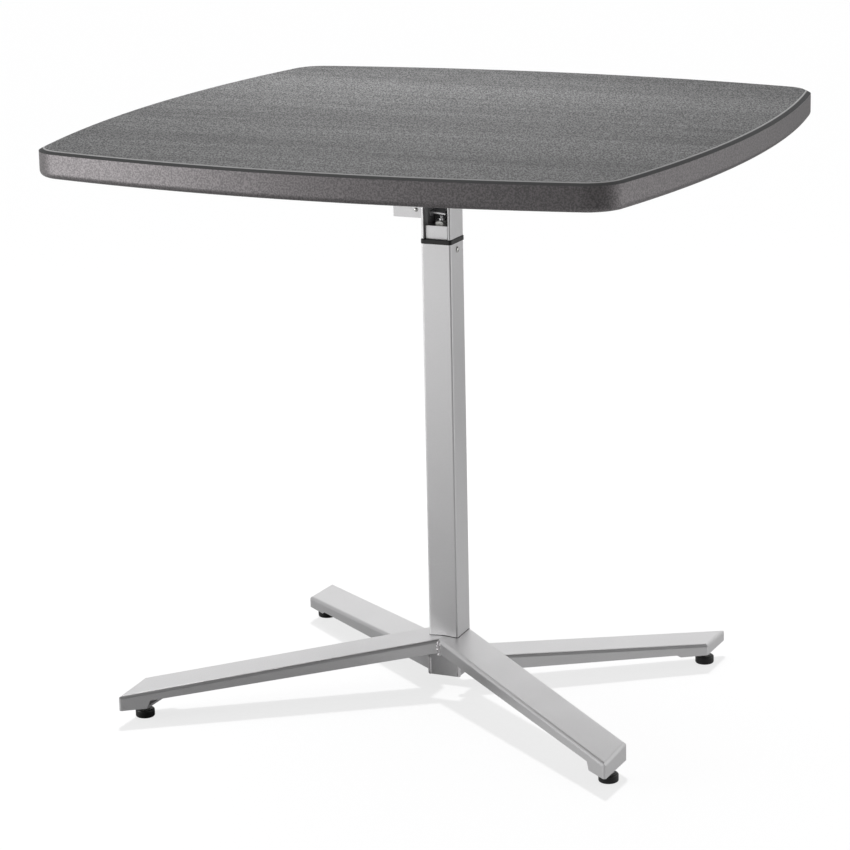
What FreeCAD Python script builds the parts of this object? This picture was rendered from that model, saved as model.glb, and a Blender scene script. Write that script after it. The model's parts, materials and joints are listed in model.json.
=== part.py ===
import FreeCAD, Part
import math
import os
from FreeCAD import Vector

# Height-adjustable pedestal table with a tilting top on a nesting four-leg base.
# Frame: +Z up, origin on the floor under the column axis, front is -Y, right is +X.
# The column is fully lowered and the top lies flat. All sizes are in millimetres.

# ---- overall ----
TABLE_HEIGHT = 762.0
LIFT_TRAVEL = 305.0

# ---- blow-moulded top ----
TOP_WIDTH = 832.0
SIDE_BOW_RADIUS = 1745.0
TOP_CORNER_RADIUS = 50.0
TOP_THICKNESS = 34.5
TOP_BEVEL_WIDTH = 7.2
TOP_BEVEL_DROP = 3.6
UNDERSIDE_EDGE_ROUND = 7.5
TOP_WALL = 3.0
DIMPLE_PITCH = 92.0
DIMPLE_MOUTH_RADIUS = 13.0
DIMPLE_FLOOR_RADIUS = 6.0
DIMPLE_EDGE_MARGIN = 45.0

# ---- mounting plate under the top ----
PLATE_SIZE = 150.0
PLATE_THICKNESS = 3.0
PLATE_CORNER_RADIUS = 12.0
PLATE_EDGE_TO_SCREW = 13.0
EAR_THICKNESS = 3.0
EAR_ROOT_WIDTH = 50.0
EAR_END_RADIUS = 14.0
SCREW_RADIUS = 2.5
SCREW_HEAD_RADIUS = 5.5
SCREW_HEAD_HEIGHT = 2.5
SCREW_LENGTH = 16.0
INSERT_RADIUS = 4.5
INSERT_LENGTH = 14.0
INSERT_BOSS_RADIUS = 9.0

# ---- column ----
OUTER_TUBE = 41.3
OUTER_TUBE_WALL = 1.5
OUTER_TUBE_CORNER = 2.5
COLUMN_FOOT_Z = 20.0
HEAD_DROP = 154.5
INNER_TUBE_WALL = 1.5
INNER_TUBE_CORNER = 3.0
TUBE_BEYOND_TRAVEL = 149.0
BUSH_FLANGE_HEIGHT = 6.4
BUSH_FLANGE_PROUD = 1.0
BUSH_SLEEVE_LENGTH = 40.0
BUSH_SCREW_RADIUS = 1.5
BUSH_SCREW_HEAD_RADIUS = 4.0
BUSH_SCREW_HEAD_HEIGHT = 2.0
BUSH_SCREW_DROP = 9.0
SHOE_HEIGHT = 30.0
SHOE_FLOOR = 4.0
FOOT_PLATE_HEIGHT = 10.0
FOOT_PLATE_THICKNESS = 4.0

# ---- head bracket ----
CHEEK_THICKNESS = 3.5
WEB_HEIGHT = 80.0
WEB_TAB_WIDTH = 20.0
TUBE_ABOVE_BUSH = 17.0
END_PLATE_THICKNESS = 5.0
PIVOT_DROP = 30.0
PIVOT_RADIUS = 5.0
PIVOT_SPACER_WALL = 3.0
PIVOT_HEAD_THICKNESS = 6.0
PIVOT_HEAD_RADIUS = 8.5
EAR_BUSH_WALL = 2.0
WASHER_THICKNESS = 1.5
WASHER_RADIUS = 10.0
HOUSING_WALL = 3.0
HOUSING_HEIGHT = 43.0
HOUSING_CAVITY_HEIGHT = 31.0
HOUSING_FRONT_INSET = 3.5
BUMPER_WALL = 3.0
BUMPER_OVERLAP = 4.0

# ---- gas spring ----
CYLINDER_RADIUS = 11.0
CYLINDER_WALL = 1.5
CYLINDER_END = 8.0
CYLINDER_BEYOND_TRAVEL = 217.0
GUIDE_LENGTH = 16.0
ROD_RADIUS = 5.0
ROD_BEYOND_TRAVEL = 131.0
ROD_ABOVE_PLATE = 8.2
PISTON_LENGTH = 22.0
ROD_NUT_ACROSS_FLATS = 17.0
ROD_NUT_HEIGHT = 5.0
FOOT_STUD_RADIUS = 4.0
FOOT_NUT_ACROSS_FLATS = 13.0
FOOT_NUT_HEIGHT = 6.0
PIN_RADIUS = 2.5
PIN_LENGTH = 18.0
PIN_ABOVE_ROD = 4.0
PIN_TRAVEL = 3.0

# ---- release lever ----
LEVER_PIVOT_OUT = 12.0
LEVER_PIVOT_ABOVE_TONGUE = 5.2
LEVER_REACH = 44.0
LEVER_CHEEK_GAP = 1.6
LEVER_HALF_WIDTH = 8.0
LEVER_SHEET = 2.0
LEVER_HEIGHT = 19.0
LEVER_BELOW_PIVOT = 10.5
TONGUE_THICKNESS = 2.0
TONGUE_SLOPE = 5.0
TONGUE_HALF_WIDTH = 3.0
TONGUE_PAST_AXIS = 6.0
TONGUE_ROOT_OUT = 17.5
LUG_THICKNESS = 2.2
LUG_REACH = 16.0
LUG_BELOW_PIVOT = 5.0
LUG_ABOVE_PIVOT = 4.5
RIVET_RADIUS = 1.5
RIVET_HEAD_RADIUS = 2.7
RIVET_HEAD_THICKNESS = 1.2
SLOT_MARGIN = 1.5
SLOT_BELOW_TONGUE = 4.0
SLOT_ABOVE_TONGUE = 3.0

# ---- tilt clamp ----
CLAMP_HUB_RADIUS = 11.0
CLAMP_HUB_LENGTH = 12.0
CLAMP_ARM_LENGTH = 66.0
CLAMP_ARM_THICKNESS = 7.0
CLAMP_ARM_ROOT_HEIGHT = 14.0
CLAMP_ARM_TIP_HEIGHT = 10.0
CLAMP_NUT_THICKNESS = 5.0

# ---- legs ----
LEG_WIDTH = 58.0
LEG_SHEET = 2.5
LEG_BEND_RADIUS = 4.5
LEG_CORNER_RADIUS = 2.8
LEG_END_BOTTOM_Z = 20.0
LEG_NOTCH_LENGTH = 30.0
LEG_NOTCH_SLANT = 4.0
LEG_HUB_TRIM = 1.0
FRONT_LEG_ANGLE = 38.2
FRONT_LEG_END_X = 336.0
FRONT_LEG_HUB_TOP_Z = 76.5
FRONT_LEG_TIP_TOP_Z = 41.0
FRONT_LEG_HUB_DEPTH = 18.5
FRONT_LEG_TIP_DEPTH = 12.0
BACK_LEG_ANGLE = 36.1
BACK_LEG_END_X = 297.5
BACK_LEG_HUB_TOP_Z = 47.0
BACK_LEG_TIP_TOP_Z = 34.5
BACK_LEG_HUB_DEPTH = 21.0
BACK_LEG_TIP_DEPTH = 12.0
MITRE_WELD_RADIUS = 2.6
FILLET_WELD_RADIUS = 1.8

# ---- levelling glides ----
GLIDE_END_INSET = 13.5
GLIDE_RADIUS = 12.5
GLIDE_HEIGHT = 11.0
GLIDE_EDGE_ROUND = 2.5
GLIDE_HEX_ACROSS_FLATS = 13.0
GLIDE_HEX_HEIGHT = 3.5
GLIDE_STUD_RADIUS = 4.0
GLIDE_STUD_TOP_Z = 28.2
GLIDE_STUD_EMBED = 5.0
GLIDE_PLATE_THICKNESS = 3.0
GLIDE_PLATE_LENGTH = 34.0
GLIDE_NUT_ACROSS_FLATS = 13.0
GLIDE_NUT_HEIGHT = 4.5

# ---- clearances ----
RUNNING_FIT = 0.07
SEAT_GAP = 0.05
SLIDE_GAP = 0.3
SMALL_GAP = 0.3
LOOSE_HOLE = 0.5

# ---- levels and sizes that follow from the values above ----
UNDERSIDE_Z = TABLE_HEIGHT - TOP_THICKNESS
PLATE_BOTTOM_Z = UNDERSIDE_Z - PLATE_THICKNESS
BUSH_TOP_Z = TABLE_HEIGHT - HEAD_DROP
OUTER_TUBE_TOP_Z = BUSH_TOP_Z - BUSH_FLANGE_HEIGHT
HEAD_BOTTOM_Z = BUSH_TOP_Z + SMALL_GAP
INNER_TUBE_TOP_Z = BUSH_TOP_Z + TUBE_ABOVE_BUSH
INNER_TUBE_BOTTOM_Z = INNER_TUBE_TOP_Z - LIFT_TRAVEL - TUBE_BEYOND_TRAVEL
PIVOT_Z = UNDERSIDE_Z - PIVOT_DROP
OUTER_BORE = OUTER_TUBE - 2 * OUTER_TUBE_WALL
OUTER_BORE_CORNER = OUTER_TUBE_CORNER - OUTER_TUBE_WALL
INNER_TUBE = OUTER_TUBE - 2 * CHEEK_THICKNESS
INNER_BORE = INNER_TUBE - 2 * INNER_TUBE_WALL
CHEEK_OUT = OUTER_TUBE / 2
CHEEK_IN = CHEEK_OUT - CHEEK_THICKNESS
EAR_IN = CHEEK_OUT + SMALL_GAP
EAR_OUT = EAR_IN + EAR_THICKNESS
WASHER_IN = EAR_OUT + SMALL_GAP
WASHER_OUT = WASHER_IN + WASHER_THICKNESS
FOOT_PLATE_Z = COLUMN_FOOT_Z + FOOT_PLATE_HEIGHT
CYLINDER_BOTTOM_Z = FOOT_PLATE_Z + FOOT_PLATE_THICKNESS
CYLINDER_TOP_Z = CYLINDER_BOTTOM_Z + LIFT_TRAVEL + CYLINDER_BEYOND_TRAVEL
CYLINDER_BORE_RADIUS = CYLINDER_RADIUS - CYLINDER_WALL
ROD_TOP_Z = INNER_TUBE_TOP_Z + ROD_ABOVE_PLATE
ROD_BOTTOM_Z = ROD_TOP_Z - LIFT_TRAVEL - ROD_BEYOND_TRAVEL
PIN_TOP_Z = ROD_TOP_Z + PIN_ABOVE_ROD
TONGUE_Z = PIN_TOP_Z + SMALL_GAP
LEVER_PIVOT_X = -(CHEEK_OUT + LEVER_PIVOT_OUT)
LEVER_PIVOT_Z = TONGUE_Z + LEVER_PIVOT_ABOVE_TONGUE
LEG_SPAN = 900.0
LEG_CLEAR_HEIGHT = 200.0
LEG_OVERRUN = 1.3
LEG_OVERWIDTH = 1.5


# ---- small helpers ----
def box(x0, x1, y0, y1, z0, z1):
    return Part.makeBox(x1 - x0, y1 - y0, z1 - z0, Vector(x0, y0, z0))


def rod_x(radius, x0, x1, y, z):
    return Part.makeCylinder(radius, x1 - x0, Vector(x0, y, z), Vector(1, 0, 0))


def rod_y(radius, y0, y1, x, z):
    return Part.makeCylinder(radius, y1 - y0, Vector(x, y0, z), Vector(0, 1, 0))


def rod_z(radius, z0, z1, x=0.0, y=0.0):
    return Part.makeCylinder(radius, z1 - z0, Vector(x, y, z0), Vector(0, 0, 1))


def upright_edges(shape):
    return [e for e in shape.Edges if abs(e.tangentAt(e.FirstParameter).z) > 0.999]


def square_bar(size, corner, z0, z1):
    half = size / 2
    bar = box(-half, half, -half, half, z0, z1)
    return bar.makeFillet(corner, upright_edges(bar)) if corner > 0 else bar


def hexagon_z(across_flats, z0, z1, x=0.0, y=0.0):
    radius = across_flats / math.sqrt(3)
    corners = [Vector(x + radius * math.cos(math.radians(60 * i)),
                      y + radius * math.sin(math.radians(60 * i)), z0) for i in range(7)]
    return Part.Face(Part.makePolygon(corners)).extrude(Vector(0, 0, z1 - z0))


def prism(points, direction):
    return Part.Face(Part.makePolygon(points + points[:1])).extrude(direction)


def upper_face(shape):
    return max(shape.Faces, key=lambda f: f.normalAt(0, 0).z)


def mirrored(shape):
    return shape.mirror(Vector(0, 0, 0), Vector(1, 0, 0))


# ---- blow-moulded top ----
def outline_centres():
    """Centre offset of a bowed side, and of a corner arc along the diagonal."""
    bow = SIDE_BOW_RADIUS - TOP_WIDTH / 2
    inner = SIDE_BOW_RADIUS - TOP_CORNER_RADIUS
    corner = (-bow + math.sqrt(2 * inner ** 2 - bow ** 2)) / 2
    return bow, corner


def top_outline(inset, z):
    """Closed wire: four bowed sides joined by tangent corner arcs."""
    bow, corner = outline_centres()
    side_radius = SIDE_BOW_RADIUS - inset
    corner_radius = TOP_CORNER_RADIUS - inset
    end = math.atan2(corner, corner + bow)
    edges = []
    for quarter in range(4):
        turn = FreeCAD.Rotation(Vector(0, 0, 1), 90 * quarter)

        def side_point(angle):
            flat = Vector(side_radius * math.cos(angle) - bow, side_radius * math.sin(angle), 0)
            return turn.multVec(flat) + Vector(0, 0, z)

        def corner_point(angle):
            flat = Vector(corner + corner_radius * math.cos(angle),
                          corner + corner_radius * math.sin(angle), 0)
            return turn.multVec(flat) + Vector(0, 0, z)

        edges.append(Part.Arc(side_point(-end), side_point(0), side_point(end)).toShape())
        edges.append(Part.Arc(side_point(end), corner_point(math.pi / 4),
                              corner_point(math.pi / 2 - end)).toShape())
    return Part.Wire(Part.__sortEdges__(edges))


def top_block(inset, z0, z1, lower_round):
    """The slab's form, or its hollow's: bevelled above and rounded below."""
    shoulder = z1 - TOP_BEVEL_DROP
    block = Part.Face(top_outline(inset, z0)).extrude(Vector(0, 0, shoulder - z0))
    lower = [e for e in block.Edges if e.BoundBox.ZMax < z0 + 0.01]
    block = block.makeFillet(lower_round, lower)
    crown = Part.makeLoft([top_outline(inset, shoulder), top_outline(inset + TOP_BEVEL_WIDTH, z1)],
                          True, True)
    return block.fuse(crown).removeSplitter()


def plate_screw_places():
    reach = PLATE_SIZE / 2 - PLATE_EDGE_TO_SCREW
    return [(x, y) for x in (-reach, 0, reach) for y in (-reach, 0, reach) if (x, y) != (0, 0)]


def dimple_places():
    bow, _ = outline_centres()
    reach = SIDE_BOW_RADIUS - DIMPLE_EDGE_MARGIN
    count = int(TOP_WIDTH / 2 / DIMPLE_PITCH)
    keep_out = PLATE_SIZE / 2 + DIMPLE_MOUTH_RADIUS
    places = []
    for i in range(-count, count + 1):
        for j in range(-count, count + 1):
            x = i * DIMPLE_PITCH
            y = j * DIMPLE_PITCH
            inside = max(math.hypot(abs(x) + bow, y), math.hypot(x, abs(y) + bow)) < reach
            if inside and max(abs(x), abs(y)) > keep_out:
                places.append((x, y))
    return places


def make_top_slab():
    wall = TOP_WALL
    outer = top_block(0, UNDERSIDE_Z, TABLE_HEIGHT, UNDERSIDE_EDGE_ROUND)
    cavity_z0 = UNDERSIDE_Z + wall
    cavity_z1 = TABLE_HEIGHT - wall
    cavity = top_block(wall, cavity_z0, cavity_z1, UNDERSIDE_EDGE_ROUND - wall)
    dimples = []
    cores = []
    depth = TOP_THICKNESS - 2 * wall
    for x, y in dimple_places():
        dimples.append(Part.makeCone(DIMPLE_MOUTH_RADIUS, DIMPLE_FLOOR_RADIUS, depth,
                                     Vector(x, y, UNDERSIDE_Z)))
        cores.append(Part.makeCone(DIMPLE_MOUTH_RADIUS + wall, DIMPLE_FLOOR_RADIUS + wall,
                                   depth + wall, Vector(x, y, UNDERSIDE_Z)))
    for x, y in plate_screw_places():
        cores.append(rod_z(INSERT_BOSS_RADIUS, UNDERSIDE_Z, TABLE_HEIGHT, x, y))
        dimples.append(rod_z(INSERT_RADIUS + SEAT_GAP, UNDERSIDE_Z,
                             UNDERSIDE_Z + SCREW_LENGTH + 1, x, y))
    return outer.cut(Part.makeCompound(dimples)).cut(cavity.cut(Part.makeCompound(cores)))


def make_screw_inserts():
    inserts = []
    for x, y in plate_screw_places():
        body = rod_z(INSERT_RADIUS, UNDERSIDE_Z, UNDERSIDE_Z + INSERT_LENGTH, x, y)
        bore = rod_z(SCREW_RADIUS + SEAT_GAP, UNDERSIDE_Z, UNDERSIDE_Z + INSERT_LENGTH, x, y)
        inserts.append(body.cut(bore))
    return Part.makeCompound(inserts)


def make_plate_screws():
    screws = []
    for x, y in plate_screw_places():
        shank = rod_z(SCREW_RADIUS, PLATE_BOTTOM_Z, PLATE_BOTTOM_Z + SCREW_LENGTH, x, y)
        head = rod_z(SCREW_HEAD_RADIUS, PLATE_BOTTOM_Z - SCREW_HEAD_HEIGHT, PLATE_BOTTOM_Z, x, y)
        rim = [e for e in head.Edges if e.BoundBox.ZMax < PLATE_BOTTOM_Z - SCREW_HEAD_HEIGHT + 0.01]
        head = head.makeFillet(SCREW_HEAD_HEIGHT / 2, rim)
        socket = hexagon_z(SCREW_RADIUS * 1.6, PLATE_BOTTOM_Z - SCREW_HEAD_HEIGHT,
                           PLATE_BOTTOM_Z - SCREW_HEAD_HEIGHT / 3, x, y)
        screws.append(shank.fuse(head).cut(socket).removeSplitter())
    return Part.makeCompound(screws)


def make_ear(x0):
    """One pivot ear: a plate that narrows from the mounting plate to a round end."""
    half = EAR_ROOT_WIDTH / 2
    root = prism([Vector(x0, -half, PLATE_BOTTOM_Z), Vector(x0, half, PLATE_BOTTOM_Z),
                  Vector(x0, EAR_END_RADIUS, PIVOT_Z), Vector(x0, -EAR_END_RADIUS, PIVOT_Z)],
                 Vector(EAR_THICKNESS, 0, 0))
    return root.fuse(rod_x(EAR_END_RADIUS, x0, x0 + EAR_THICKNESS, 0, PIVOT_Z))


def make_mounting_plate():
    half = PLATE_SIZE / 2
    plate = box(-half, half, -half, half, PLATE_BOTTOM_Z, UNDERSIDE_Z)
    plate = plate.makeFillet(PLATE_CORNER_RADIUS, upright_edges(plate))
    for x, y in plate_screw_places():
        plate = plate.cut(rod_z(SCREW_RADIUS + LOOSE_HOLE, PLATE_BOTTOM_Z, UNDERSIDE_Z, x, y))
    hole = PIVOT_RADIUS + EAR_BUSH_WALL + SEAT_GAP
    for x0 in (EAR_IN, -EAR_OUT):
        ear = make_ear(x0).cut(rod_x(hole, x0 - 1, x0 + EAR_THICKNESS + 1, 0, PIVOT_Z))
        plate = plate.fuse(ear)
    return plate.removeSplitter()


def make_ear_bushes():
    bushes = []
    for x0 in (EAR_IN, -EAR_OUT):
        body = rod_x(PIVOT_RADIUS + EAR_BUSH_WALL, x0, x0 + EAR_THICKNESS, 0, PIVOT_Z)
        bore = rod_x(PIVOT_RADIUS + RUNNING_FIT, x0, x0 + EAR_THICKNESS, 0, PIVOT_Z)
        bushes.append(body.cut(bore))
    return Part.makeCompound(bushes)


# ---- outer column ----
def bush_screw_z():
    return OUTER_TUBE_TOP_Z - BUSH_SCREW_DROP


def bush_screw_bore(radius):
    return rod_x(radius, INNER_TUBE / 2 + SLIDE_GAP, CHEEK_OUT + 1, 0, bush_screw_z())


def make_outer_column_tube():
    tube = square_bar(OUTER_TUBE, OUTER_TUBE_CORNER, COLUMN_FOOT_Z, OUTER_TUBE_TOP_Z)
    tube = tube.cut(square_bar(OUTER_BORE, OUTER_BORE_CORNER, COLUMN_FOOT_Z, OUTER_TUBE_TOP_Z))
    return tube.cut(bush_screw_bore(BUSH_SCREW_RADIUS + SEAT_GAP))


def make_upper_guide_bush():
    flange = square_bar(OUTER_TUBE + 2 * BUSH_FLANGE_PROUD, OUTER_TUBE_CORNER + BUSH_FLANGE_PROUD,
                        OUTER_TUBE_TOP_Z, BUSH_TOP_Z)
    rims = [e for e in flange.Edges if e.BoundBox.ZLength < 0.01]
    flange = flange.makeFillet(BUSH_FLANGE_PROUD, rims)
    sleeve = square_bar(OUTER_BORE - 2 * SEAT_GAP, OUTER_BORE_CORNER,
                        OUTER_TUBE_TOP_Z - BUSH_SLEEVE_LENGTH, OUTER_TUBE_TOP_Z + 1)
    bore = square_bar(INNER_TUBE + 2 * SLIDE_GAP, INNER_TUBE_CORNER + SLIDE_GAP,
                      OUTER_TUBE_TOP_Z - BUSH_SLEEVE_LENGTH, BUSH_TOP_Z)
    bush = flange.fuse(sleeve).cut(bore)
    return bush.cut(bush_screw_bore(BUSH_SCREW_RADIUS + SEAT_GAP)).removeSplitter()


def make_bush_screw():
    length_in = CHEEK_OUT - INNER_TUBE / 2 - 2 * SLIDE_GAP
    shank = rod_x(BUSH_SCREW_RADIUS, CHEEK_OUT - length_in, CHEEK_OUT, 0, bush_screw_z())
    rise = BUSH_SCREW_HEAD_HEIGHT
    ball_radius = (BUSH_SCREW_HEAD_RADIUS ** 2 + rise ** 2) / (2 * rise)
    centre = Vector(CHEEK_OUT + rise - ball_radius, 0, bush_screw_z())
    reach = BUSH_SCREW_HEAD_RADIUS + 1
    cap = Part.makeSphere(ball_radius, centre).common(
        box(CHEEK_OUT, CHEEK_OUT + reach, -reach, reach, bush_screw_z() - reach,
            bush_screw_z() + reach))
    return shank.fuse(cap).removeSplitter()


def make_column_foot_plate():
    plate = square_bar(OUTER_BORE - 2 * SEAT_GAP, OUTER_BORE_CORNER, FOOT_PLATE_Z,
                       FOOT_PLATE_Z + FOOT_PLATE_THICKNESS)
    return plate.cut(rod_z(FOOT_STUD_RADIUS + SEAT_GAP, FOOT_PLATE_Z,
                           FOOT_PLATE_Z + FOOT_PLATE_THICKNESS))


# ---- gas spring ----
def make_gas_cylinder():
    body = rod_z(CYLINDER_RADIUS, CYLINDER_BOTTOM_Z, CYLINDER_TOP_Z)
    rims = [e for e in body.Edges if e.BoundBox.ZLength < 0.01]
    body = body.makeFillet(CYLINDER_WALL / 2, rims)
    body = body.cut(rod_z(CYLINDER_BORE_RADIUS, CYLINDER_BOTTOM_Z + CYLINDER_END, CYLINDER_TOP_Z))
    stud = rod_z(FOOT_STUD_RADIUS, FOOT_PLATE_Z - FOOT_NUT_HEIGHT - 1, CYLINDER_BOTTOM_Z + 1)
    return body.fuse(stud).removeSplitter()


def make_cylinder_foot_nut():
    bottom = FOOT_PLATE_Z - FOOT_NUT_HEIGHT
    return hexagon_z(FOOT_NUT_ACROSS_FLATS, bottom, FOOT_PLATE_Z).cut(
        rod_z(FOOT_STUD_RADIUS + SEAT_GAP, bottom, FOOT_PLATE_Z))


def make_rod_guide():
    bottom = CYLINDER_TOP_Z - GUIDE_LENGTH
    guide = rod_z(CYLINDER_BORE_RADIUS - SEAT_GAP, bottom, CYLINDER_TOP_Z)
    return guide.cut(rod_z(ROD_RADIUS + RUNNING_FIT, bottom, CYLINDER_TOP_Z))


def make_gas_rod():
    rod = rod_z(ROD_RADIUS, ROD_BOTTOM_Z, ROD_TOP_Z)
    top_rim = [e for e in rod.Edges if e.BoundBox.ZMin > ROD_TOP_Z - 0.01]
    rod = rod.makeChamfer(ROD_RADIUS / 8, top_rim)
    bore_bottom = PIN_TOP_Z - PIN_LENGTH - PIN_TRAVEL - 1
    return rod.cut(rod_z(PIN_RADIUS + RUNNING_FIT, bore_bottom, ROD_TOP_Z))


def make_gas_piston():
    piston = rod_z(CYLINDER_BORE_RADIUS - SLIDE_GAP, ROD_BOTTOM_Z, ROD_BOTTOM_Z + PISTON_LENGTH)
    return piston.cut(rod_z(ROD_RADIUS + SEAT_GAP, ROD_BOTTOM_Z, ROD_BOTTOM_Z + PISTON_LENGTH))


def make_release_pin():
    pin = rod_z(PIN_RADIUS, PIN_TOP_Z - PIN_LENGTH, PIN_TOP_Z - PIN_RADIUS)
    return pin.fuse(Part.makeSphere(PIN_RADIUS, Vector(0, 0, PIN_TOP_Z - PIN_RADIUS))).removeSplitter()


def make_rod_lock_nut():
    top = INNER_TUBE_TOP_Z + ROD_NUT_HEIGHT
    nut = hexagon_z(ROD_NUT_ACROSS_FLATS, INNER_TUBE_TOP_Z, top)
    crown = Part.makeCone(ROD_NUT_ACROSS_FLATS / 2 + 4, ROD_NUT_ACROSS_FLATS / 2 - 0.5,
                          ROD_NUT_HEIGHT, Vector(0, 0, INNER_TUBE_TOP_Z))
    return nut.common(crown).cut(rod_z(ROD_RADIUS + SEAT_GAP, INNER_TUBE_TOP_Z, top))


# ---- inner column and head ----
def make_inner_column_tube():
    tube = square_bar(INNER_TUBE, INNER_TUBE_CORNER, INNER_TUBE_BOTTOM_Z, INNER_TUBE_TOP_Z)
    bore_corner = INNER_TUBE_CORNER - INNER_TUBE_WALL
    return tube.cut(square_bar(INNER_BORE, bore_corner, INNER_TUBE_BOTTOM_Z, INNER_TUBE_TOP_Z))


def make_lower_slide_shoe():
    """Moulded shoe on the lower end of the inner tube, sliding in the outer tube."""
    bottom = INNER_TUBE_BOTTOM_Z - SHOE_FLOOR
    shoe = square_bar(OUTER_BORE - 2 * SLIDE_GAP, OUTER_BORE_CORNER + SLIDE_GAP, bottom,
                      bottom + SHOE_HEIGHT)
    seat = square_bar(INNER_TUBE + 2 * SEAT_GAP, INNER_TUBE_CORNER, INNER_TUBE_BOTTOM_Z,
                      bottom + SHOE_HEIGHT)
    return shoe.cut(seat).cut(rod_z(CYLINDER_RADIUS + LOOSE_HOLE, bottom, bottom + SHOE_HEIGHT))


def make_head_end_plate():
    corner = INNER_TUBE_CORNER - INNER_TUBE_WALL
    bottom = INNER_TUBE_TOP_Z - END_PLATE_THICKNESS
    plate = square_bar(INNER_BORE - 2 * SEAT_GAP, corner, bottom, INNER_TUBE_TOP_Z)
    return plate.cut(rod_z(ROD_RADIUS + SEAT_GAP, bottom, INNER_TUBE_TOP_Z))


def lever_slot(x0, x1):
    """The way through the left cheek and the housing wall for the lever's tongue."""
    half = TONGUE_HALF_WIDTH + SLOT_MARGIN
    return box(x0, x1, -half, half, TONGUE_Z - SLOT_BELOW_TONGUE,
               TONGUE_Z + TONGUE_THICKNESS + SLOT_ABOVE_TONGUE)


def make_head_bracket():
    """Folded U bracket: two cheeks on the inner tube's sides and a web behind it."""
    body = square_bar(OUTER_TUBE, OUTER_TUBE_CORNER, HEAD_BOTTOM_Z, PIVOT_Z)
    front = -CHEEK_OUT
    body = body.fuse(rod_x(CHEEK_OUT, -CHEEK_OUT, CHEEK_OUT, 0, PIVOT_Z))
    top = PIVOT_Z + CHEEK_OUT + 1
    body = body.cut(box(-CHEEK_IN, CHEEK_IN, front - 1, CHEEK_IN, HEAD_BOTTOM_Z - 1, top))
    web_top = HEAD_BOTTOM_Z + WEB_HEIGHT
    tab = WEB_TAB_WIDTH / 2
    body = body.cut(box(-CHEEK_IN, CHEEK_IN, CHEEK_IN, CHEEK_OUT + 1, web_top, top))
    body = body.fuse(box(-tab, tab, CHEEK_IN, CHEEK_OUT, web_top - 1,
                         PLATE_BOTTOM_Z - BUMPER_OVERLAP - SMALL_GAP))
    body = body.cut(rod_x(PIVOT_RADIUS + SEAT_GAP, -CHEEK_OUT - 1, CHEEK_OUT + 1, 0, PIVOT_Z))
    return body.cut(lever_slot(-CHEEK_OUT - 1, -CHEEK_IN + 1)).removeSplitter()


def make_tilt_stop_bumper():
    """Rubber cap on the web's tab, just under the mounting plate."""
    half = WEB_TAB_WIDTH / 2 + BUMPER_WALL
    tab_top = PLATE_BOTTOM_Z - BUMPER_OVERLAP - SMALL_GAP
    cap = box(-half, half, CHEEK_IN - BUMPER_WALL, CHEEK_OUT + BUMPER_WALL,
              tab_top - BUMPER_OVERLAP, PLATE_BOTTOM_Z - SMALL_GAP)
    cap = cap.makeFillet(BUMPER_WALL / 2, upright_edges(cap))
    seat = box(-WEB_TAB_WIDTH / 2, WEB_TAB_WIDTH / 2, CHEEK_IN, CHEEK_OUT,
               tab_top - BUMPER_OVERLAP, tab_top)
    return cap.cut(seat)


def make_valve_housing():
    """Moulded cover round the release valve, open to the front."""
    half = CHEEK_IN - SEAT_GAP
    bottom = INNER_TUBE_TOP_Z
    front = -CHEEK_IN + HOUSING_FRONT_INSET
    body = box(-half, half, front, half, bottom, bottom + HOUSING_HEIGHT)
    inner = half - HOUSING_WALL
    back = half - HOUSING_WALL * 1.8
    cavity = box(-inner, inner, front - 1, back, bottom, bottom + HOUSING_CAVITY_HEIGHT)
    roof = [e for e in cavity.Edges if e.BoundBox.ZMin > bottom + HOUSING_CAVITY_HEIGHT - 0.01
            and e.BoundBox.XLength < 0.01]
    cavity = cavity.makeFillet(HOUSING_WALL, roof)
    return body.cut(cavity).cut(lever_slot(-half - 1, -inner + 1))


def make_pivot_spacer():
    outer = rod_x(PIVOT_RADIUS + PIVOT_SPACER_WALL, -CHEEK_IN + SEAT_GAP, CHEEK_IN - SEAT_GAP, 0,
                  PIVOT_Z)
    return outer.cut(rod_x(PIVOT_RADIUS + SEAT_GAP, -CHEEK_IN, CHEEK_IN, 0, PIVOT_Z))


def clamp_hub_span():
    start = WASHER_OUT + SMALL_GAP
    return start, start + CLAMP_HUB_LENGTH


def make_pivot_bolt():
    hub_end = clamp_hub_span()[1]
    shank = rod_x(PIVOT_RADIUS, -WASHER_OUT, hub_end + SMALL_GAP + CLAMP_NUT_THICKNESS + 2, 0,
                  PIVOT_Z)
    head = rod_x(PIVOT_HEAD_RADIUS, -WASHER_OUT - PIVOT_HEAD_THICKNESS, -WASHER_OUT, 0, PIVOT_Z)
    rim = [e for e in head.Edges if e.BoundBox.XMax < -WASHER_OUT - PIVOT_HEAD_THICKNESS + 0.01]
    head = head.makeFillet(PIVOT_HEAD_THICKNESS / 4, rim)
    return shank.fuse(head).removeSplitter()


def make_pivot_washers():
    washers = []
    for x0 in (WASHER_IN, -WASHER_OUT):
        disc = rod_x(WASHER_RADIUS, x0, x0 + WASHER_THICKNESS, 0, PIVOT_Z)
        washers.append(disc.cut(rod_x(PIVOT_RADIUS + SEAT_GAP, x0, x0 + WASHER_THICKNESS, 0,
                                      PIVOT_Z)))
    return Part.makeCompound(washers)


def make_clamp_nut():
    start = clamp_hub_span()[1] + SMALL_GAP
    nut = hexagon_z(ROD_NUT_ACROSS_FLATS, 0, CLAMP_NUT_THICKNESS)
    nut.rotate(Vector(0, 0, 0), Vector(0, 1, 0), 90)
    nut.translate(Vector(start, 0, PIVOT_Z))
    return nut.cut(rod_x(PIVOT_RADIUS + SEAT_GAP, start, start + CLAMP_NUT_THICKNESS, 0, PIVOT_Z))


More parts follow.
